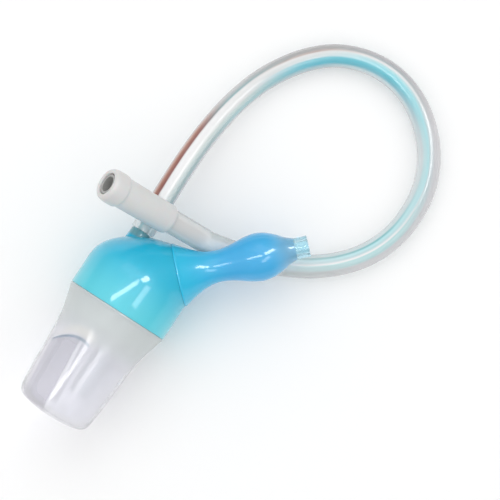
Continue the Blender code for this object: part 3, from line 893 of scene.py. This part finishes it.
def make_tip(place, material):
    """The clear tip with its stem in the nozzle's end."""
    foot = NOZZLE_END + SEAM
    outline = [(TIP_BORE_RADIUS + 0.3, TIP_END), (TIP_RADIUS - 0.3, TIP_END),
               (TIP_RADIUS - 0.08, TIP_END - 0.1), (TIP_RADIUS, TIP_END - EDGE),
               (TIP_RADIUS - 0.1, TIP_END - 2.2), (TIP_RADIUS + 0.05, foot), (TIP_STEM_RADIUS, foot),
               (TIP_STEM_RADIUS, TIP_STEM_END), (NOZZLE_BORE_RADIUS, TIP_STEM_END),
               (TIP_BORE_RADIUS - 0.1, NOZZLE_END), (TIP_BORE_RADIUS, TIP_END - EDGE),
               (TIP_BORE_RADIUS + 0.08, TIP_END - 0.1)]
    return turned("tip", outline, place.seat, place.nozzle_axis, material, THIN_STEPS)


def make_mouth_pieces(place, sleeve_material, liner_material, stem_material):
    """The soft sleeve, the ring in its front bore and the stem that the hose is pushed over."""
    end = -SLEEVE_LENGTH
    ring_end = -SLEEVE_FRONT_DEPTH + 0.3
    lip = smooth_through([(4.6, -0.02), (5.1, 0.0), (5.6, -0.25), (6.05, -0.85), (6.3, -1.8),
                          (6.38, -3.2), (6.40, -5.3), (6.30, -6.4), (5.95, -6.9), (5.78, -7.2),
                          (5.8, -8.2)], 3)
    sleeve = [tuple(point) for point in lip]
    sleeve += [(5.65, end + 1.4), (5.6, end + 0.7), (5.45, end + 0.25), (5.25, end),
               (SLEEVE_BORE_RADIUS + 0.1, end), (SLEEVE_BORE_RADIUS, end + 0.1),
               (SLEEVE_BORE_RADIUS, -SLEEVE_FRONT_DEPTH), (LINER_RADIUS + 0.3, -SLEEVE_FRONT_DEPTH),
               (LINER_RADIUS + 0.3, -0.6), (LINER_RADIUS + 0.45, -0.2)]
    ring = rounded([(LINER_BORE_RADIUS, -0.55), (LINER_RADIUS, -0.55), (LINER_RADIUS, ring_end),
                    (LINER_BORE_RADIUS, ring_end)], 0.3)
    stem = rounded([(STEM_BORE_RADIUS, -STEM_START), (STEM_RADIUS, -STEM_START),
                    (STEM_RADIUS, -STEM_END), (STEM_BORE_RADIUS, -STEM_END)], 0.3)
    made = (("mouth_sleeve", sleeve, sleeve_material), ("mouth_ring", ring, liner_material),
            ("stem", stem, stem_material))
    return [turned(name, outline, place.mouth, place.mouth_axis, material, THIN_STEPS)
            for name, outline, material in made]


def evenly_spaced(points, apart):
    """Points at equal distances along a line of points."""
    lengths = [0.0]
    for before, after in zip(points, points[1:]):
        lengths.append(lengths[-1] + (after - before).length)
    count = round(lengths[-1] / apart)
    result = []
    index = 0
    for step in range(count + 1):
        wanted = lengths[-1] * step / count
        while index < len(points) - 2 and lengths[index + 1] < wanted:
            index += 1
        share = (wanted - lengths[index]) / (lengths[index + 1] - lengths[index])
        result.append(points[index].lerp(points[index + 1], share))
    return result


def hose_line(place):
    """The hose's centreline in metres, from the port's face to its end in the mouthpiece."""
    route = [Vector((place.port.x, place.port.y + (PORT_FACE + SEAM) * MM, place.port.z))]
    route += [place.floor_rim + Vector(point) * MM for point in HOSE_ROUTE]
    route += [place.mouth - place.mouth_axis * depth * MM
              for depth in (HOSE_BEND_DEPTH + HOSE_BEND_LEAD, HOSE_BEND_DEPTH, STEM_MIDDLE,
                            HOSE_END_DEPTH)]
    return evenly_spaced(smooth_through(route, 12), HOSE_POINTS_APART * MM)


def make_hose(line, material, bore_material):
    """One hollow tube, a little wider where it is stretched over the port's barb."""
    outer = []
    for index in range(len(line)):
        beyond_barb = index * HOSE_POINTS_APART - (HOSE_SWELL_END - PORT_FACE)
        swell = min(1.0, max(0.0, -beyond_barb / 1.5))
        outer.append(HOSE_RADIUS + 0.1 * swell)
    outer[0] -= 0.15
    inner = [HOSE_BORE_RADIUS] * len(line)
    hose = swept("hose_tube", line, outer, inner, material, HOSE_STEPS)
    hose.data.materials.append(bore_material)
    half = len(hose.data.polygons) // 2
    for face in hose.data.polygons[half:]:
        face.material_index = 1
    return hose


# ---------------------------------------------------------------- stage


def orient(obj, right, up, back, position):
    """Turns an object so that its own axes lie along three directions, and puts it in its place."""
    matrix = obj.matrix_world.copy()
    for column, axis in enumerate((right, up, back)):
        for row in range(3):
            matrix[row][column] = axis[row]
    matrix.translation = position
    obj.matrix_world = matrix


def make_camera(place):
    """Looks down on the object, a little from +X and -Y, with the cup's axis leaning to the right."""
    lean = math.tan(CAMERA_LEAN)
    back = Vector((lean, -lean, 1.0)).normalized()
    along = Vector((0.0, 1.0, 0.0))
    along = (along - back * along.dot(back)).normalized()
    across = along.cross(back)
    up = along * math.cos(CAMERA_ROLL) - across * math.sin(CAMERA_ROLL)
    data = bpy.data.cameras.new("camera")
    data.sensor_width = SENSOR_WIDTH
    data.lens = SENSOR_WIDTH * CAMERA_DISTANCE / VIEW_WIDTH
    data.clip_start = 0.01
    data.clip_end = 20.0
    camera = bpy.data.objects.new("camera", data)
    orient(camera, up.cross(back), up, back,
           place.floor_rim + (Vector(AIM) + back * CAMERA_DISTANCE) * MM)
    bpy.context.scene.collection.objects.link(camera)
    bpy.context.scene.camera = camera


def make_floor():
    """A plain pale floor."""
    body = bmesh.new()
    bmesh.ops.create_grid(body, x_segments=1, y_segments=1, size=3.0)
    look = new_look("floor")
    look.principled(Base_Color=(0.97, 0.97, 0.97), Roughness=0.9)
    floor = mesh_object("floor", body, look.owner)


def overhead(across, along):
    """A direction some degrees towards +X and towards +Y from straight up."""
    tilt = math.radians(math.hypot(across, along))
    heading = math.atan2(along, across)
    level = math.sin(tilt)
    return Vector((level * math.cos(heading), level * math.sin(heading), math.cos(tilt)))


def pane(name, start, end, width, radiance, aim, glare_only=True):
    """A window pane seen from the aim point between two directions, as many degrees wide."""
    first = overhead(*start)
    last = overhead(*end)
    direction = (first + last).normalized()
    along = (last - first).normalized()
    data = bpy.data.lights.new(name, "AREA")
    data.shape = "RECTANGLE"
    data.size = PANE_DISTANCE * math.radians(width)
    data.size_y = PANE_DISTANCE * (last - first).length
    data.energy = radiance * math.pi * data.size * data.size_y
    light = bpy.data.objects.new(name, data)
    orient(light, along.cross(direction), along, direction, aim + direction * PANE_DISTANCE)
    light.visible_diffuse = not glare_only
    light.visible_transmission = not glare_only
    bpy.context.scene.collection.objects.link(light)


def make_sky():
    """A pale room, brighter overhead than near the floor."""
    world = bpy.data.worlds.new("studio")
    look = Look(world)
    direction = look.nodes.new("ShaderNodeTexCoord").outputs["Generated"]
    split = look.fill(look.nodes.new("ShaderNodeSeparateXYZ"), Vector=direction)
    bright = look.remap(split.outputs["Z"], 0.0, 0.8, SKY_LOW, SKY_HIGH)
    look.fill(look.nodes["Background"], Color=(1.0, 1.0, 1.0), Strength=bright)
    bpy.context.scene.world = world


def make_light(place):
    """A pale sky, a broad soft key, and three narrow windows that only glare on glossy pieces."""
    make_sky()
    cap = place.rim + Vector((0.01, 0.03, 0.0))
    pane("soft_key", start=(-20.0, 8.0), end=(-12.0, 48.0), width=40.0, radiance=0.7, aim=cap,
         glare_only=False)
    pane("window_top", start=(15.0, 16.0), end=(22.0, 46.0), width=11.0, radiance=16.0, aim=cap)
    pane("window_left", start=(-18.0, -23.0), end=(12.0, 9.0), width=7.5, radiance=11.0, aim=cap)
    pane("window_right", start=(30.0, -18.0), end=(33.0, 14.0), width=12.0, radiance=5.0, aim=cap)
    bpy.context.scene.view_settings.view_transform = "Standard"


def make_object(place):
    """Builds every piece, puts it on the body that it moves with, and hides the CAD nodes that it stands
    for.
    """
    silicone = clear_silicone()
    # The liner ring and the stem are white plastic; their greys are painted shade for the mouthpiece's
    # deep hole, darker on the liner ring at its front
    liner_shade_grey = grey_plastic("liner_plastic", (0.34, 0.34, 0.33), (0.40, 0.40, 0.39))
    stem_grey = grey_plastic("stem_plastic", (0.50, 0.50, 0.49), (0.56, 0.56, 0.55))
    sleeve, ring, stem = make_mouth_pieces(place, grey_elastomer(), liner_shade_grey, stem_grey)
    line = hose_line(place)
    length = sum((after - before).length for before, after in zip(line, line[1:]))
    hose = make_hose(line, clear_hose(length / MM), hose_bore())
    # piece, body it moves with, CAD nodes it stands for, slot of the record
    pieces = [
        (make_cap(place, teal_plastic(place)), "head", ("cap_shell",), "teal_plastic"),
        (make_seal(place, silicone), "head", ("cap_seal",), "clear_silicone"),
        (make_pipe(place, pipe_plastic()), "head", ("inlet_pipe",), "milky_plastic"),
        (make_cup(place, milky_plastic(place)), "cup", ("collection_cup",), "milky_plastic"),
        (make_nozzle(place, blue_silicone(place)), "nozzle", ("nozzle",), "blue_silicone"),
        (make_tip(place, silicone), "nozzle", ("nozzle_tip",), "clear_silicone"),
        (hose, "hose", ("hose", "hose_port_end", "hose_mouth_end"), "clear_hose"),
        (stem, "hose", ("mouthpiece_stem",), "white_plastic"),
        (sleeve, "mouthpiece", ("mouthpiece",), "grey_elastomer"),
        (ring, "mouthpiece", ("mouthpiece_liner",), "white_plastic"),
    ]
    for piece, body, nodes, slot in pieces:
        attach(piece, body)
        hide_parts(*nodes)


def main():
    place = Place()
    make_object(place)
    make_floor()
    make_light(place)
    make_camera(place)


main()
